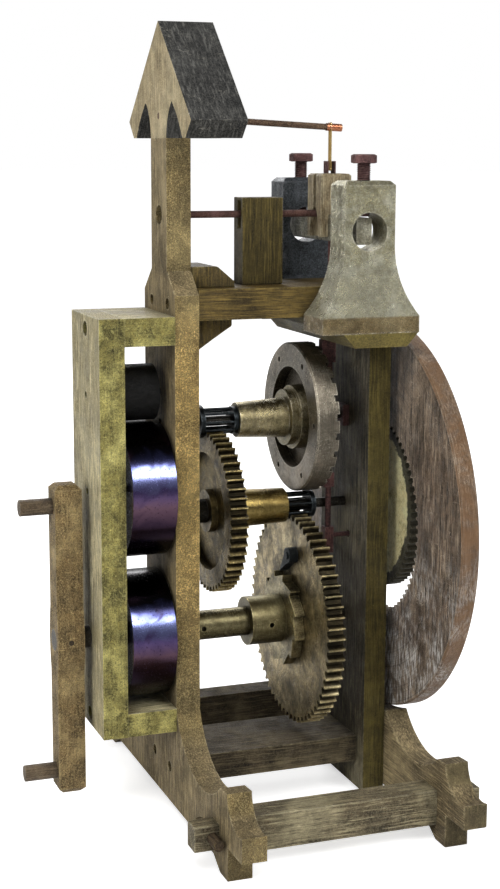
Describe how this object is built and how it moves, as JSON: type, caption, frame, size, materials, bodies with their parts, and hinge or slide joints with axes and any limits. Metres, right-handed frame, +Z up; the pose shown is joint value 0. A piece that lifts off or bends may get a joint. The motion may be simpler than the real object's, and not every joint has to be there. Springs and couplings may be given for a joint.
{
  "type": "geared clockwork model",
  "caption": "Free-standing geared clockwork in a post-and-foot frame, with a coiled-strip spring drive, a crank and a large toothed ring.",
  "frame": {"origin": "middle of the object's bounding box at floor level, on the soles", "axes": "+X along the arbors, from the crank to the toothed ring; +Y across the frame, away from the near side; +Z up"},
  "size_m": [0.306, 0.356, 0.578],
  "materials": {
    "frame_wood": "aged, brown-olive, mottled",
    "roof_wood": "light wood, black scratched slopes",
    "beam_wood": "scuffed grey-brown",
    "dark_wood": "dark, worn",
    "drive_paint": "greenish yellow, spotted",
    "crank_wood": "tan, speckled",
    "peg_wood": "dark",
    "pin_wood": "dark",
    "arbor_steel": "dark, polished",
    "great_bronze": "olive-brown, scratched",
    "ratchet_bronze": "olive-brown, scratched",
    "second_brass": "olive brass",
    "hub_brass": "brass gold, worn",
    "escape_bronze": "dark grey-bronze",
    "hub_bronze": "bronze, worn",
    "pinion_steel": "black, bluish shine",
    "tube_bronze": "dark olive, polished",
    "spring_steel": "heat-tinted purple-blue",
    "core_black": "black",
    "ring_wood": "dark brown, whitish scuffs",
    "inner_olive": "olive and cream",
    "click_black": "black",
    "near_capital_paint": "tan-grey, scratched",
    "far_capital_paint": "dark blue-grey",
    "rust_steel": "purple-brown rust",
    "bar_steel": "grey, worn",
    "head_wood": "light wood",
    "rod_red": "red-brown",
    "rod_dark": "dark brown",
    "sleeve_copper": "copper",
    "strip_gold": "golden",
    "bearing_maroon": "maroon",
    "axle_steel": "dark"
  },
  "bodies": {
    "frame": {"left_frame": "frame_wood", "roof_head": "roof_wood", "right_post": "frame_wood", "right_foot": "frame_wood", "crosshead": "frame_wood", "top_beam": "beam_wood", "upper_brace": "frame_wood", "lower_brace": "frame_wood", "guide_block": "frame_wood", "near_capital": "near_capital_paint", "far_capital": "far_capital_paint", "bracket_rod": "rod_dark", "rod_sleeve": "sleeve_copper", "suspension_strip": "strip_gold", "front_beam": "beam_wood", "middle_beam": "dark_wood", "rear_beam": "dark_wood", "locking_pins": "pin_wood", "dowels": "pin_wood", "drive_plate": "drive_paint", "top_spacer": "drive_paint", "low_spacer": "drive_paint", "drive_bolts": "axle_steel", "spool_axle": "axle_steel", "store_axle": "axle_steel", "bearing_block": "bearing_maroon"},
    "escape": {"escape_wheel": "escape_bronze", "escape_arbor": "arbor_steel", "escape_hub": "hub_bronze", "escape_pinion": "pinion_steel"},
    "second": {"second_wheel": "second_brass", "second_arbor": "arbor_steel", "second_hub": "hub_brass", "second_pinion": "pinion_steel", "inner_gear": "inner_olive"},
    "great": {"great_wheel": "great_bronze", "click_pin": "click_black"},
    "click": {"click": "click_black"},
    "winding": {"winding_shaft": "arbor_steel", "winding_tube": "tube_bronze", "ratchet_collar": "tube_bronze", "ratchet_wheel": "ratchet_bronze", "output_core": "core_black", "output_spring": "spring_steel", "crank_bar": "crank_wood", "crank_pegs": "peg_wood", "crank_pin": "pin_wood"},
    "storage": {"store_core": "core_black", "store_spring": "spring_steel"},
    "roller": {"spool": "core_black"},
    "ring": {"toothed_ring": "ring_wood"},
    "rocker": {"rocker_head": "head_wood", "cross_bar": "bar_steel", "rocking_rod": "rod_red", "clevis": "rust_steel", "staff": "bearing_maroon", "pallets": "bearing_maroon", "guide_pin": "bearing_maroon"},
    "near_screw": {"near_screw": "rust_steel"},
    "far_screw": {"far_screw": "rust_steel"}
  },
  "joints": [
    {"name": "escape_spin", "type": "hinge", "parent": "frame", "child": "escape", "pos_m": [0, 0, 0.2915], "axis": [1, 0, 0], "continuous": true},
    {"name": "second_spin", "type": "hinge", "parent": "frame", "child": "second", "pos_m": [0, 0, 0.224], "axis": [1, 0, 0], "continuous": true},
    {"name": "great_spin", "type": "hinge", "parent": "frame", "child": "great", "pos_m": [0, 0, 0.136], "axis": [1, 0, 0], "continuous": true},
    {"name": "ring_spin", "type": "hinge", "parent": "frame", "child": "ring", "pos_m": [0, 0, 0.213], "axis": [1, 0, 0], "continuous": true},
    {"name": "winding_spin", "type": "hinge", "parent": "great", "child": "winding", "pos_m": [0, 0, 0.136], "axis": [1, 0, 0], "continuous": true},
    {"name": "storage_spin", "type": "hinge", "parent": "frame", "child": "storage", "pos_m": [0, 0, 0.245], "axis": [1, 0, 0], "continuous": true},
    {"name": "roller_spin", "type": "hinge", "parent": "frame", "child": "roller", "pos_m": [0, 0, 0.316], "axis": [1, 0, 0], "continuous": true},
    {"name": "click_pivot", "type": "hinge", "parent": "great", "child": "click", "pos_m": [0, -0.014, 0.188], "axis": [1, 0, 0], "range_deg": [-6, 6], "stiffness_Nm_per_rad": 0.2},
    {"name": "rocker_swing", "type": "hinge", "parent": "frame", "child": "rocker", "pos_m": [0.085, 0, 0.4325], "axis": [0, 1, 0], "range_deg": [-1.5, 1.5], "stiffness_Nm_per_rad": 1.7},
    {"name": "near_screw_travel", "type": "slide", "parent": "frame", "child": "near_screw", "axis": [0, 0, 1], "range_m": [0, 0.01]},
    {"name": "far_screw_travel", "type": "slide", "parent": "frame", "child": "far_screw", "axis": [0, 0, 1], "range_m": [0, 0.01]}
  ],
  "couplings": [
    {"joint": "second_spin", "follows": "escape_spin", "ratio": -0.14815},
    {"joint": "great_spin", "follows": "escape_spin", "ratio": 0.016204},
    {"joint": "ring_spin", "follows": "escape_spin", "ratio": -0.12698},
    {"joint": "storage_spin", "follows": "winding_spin", "ratio": -0.94949}
  ]
}
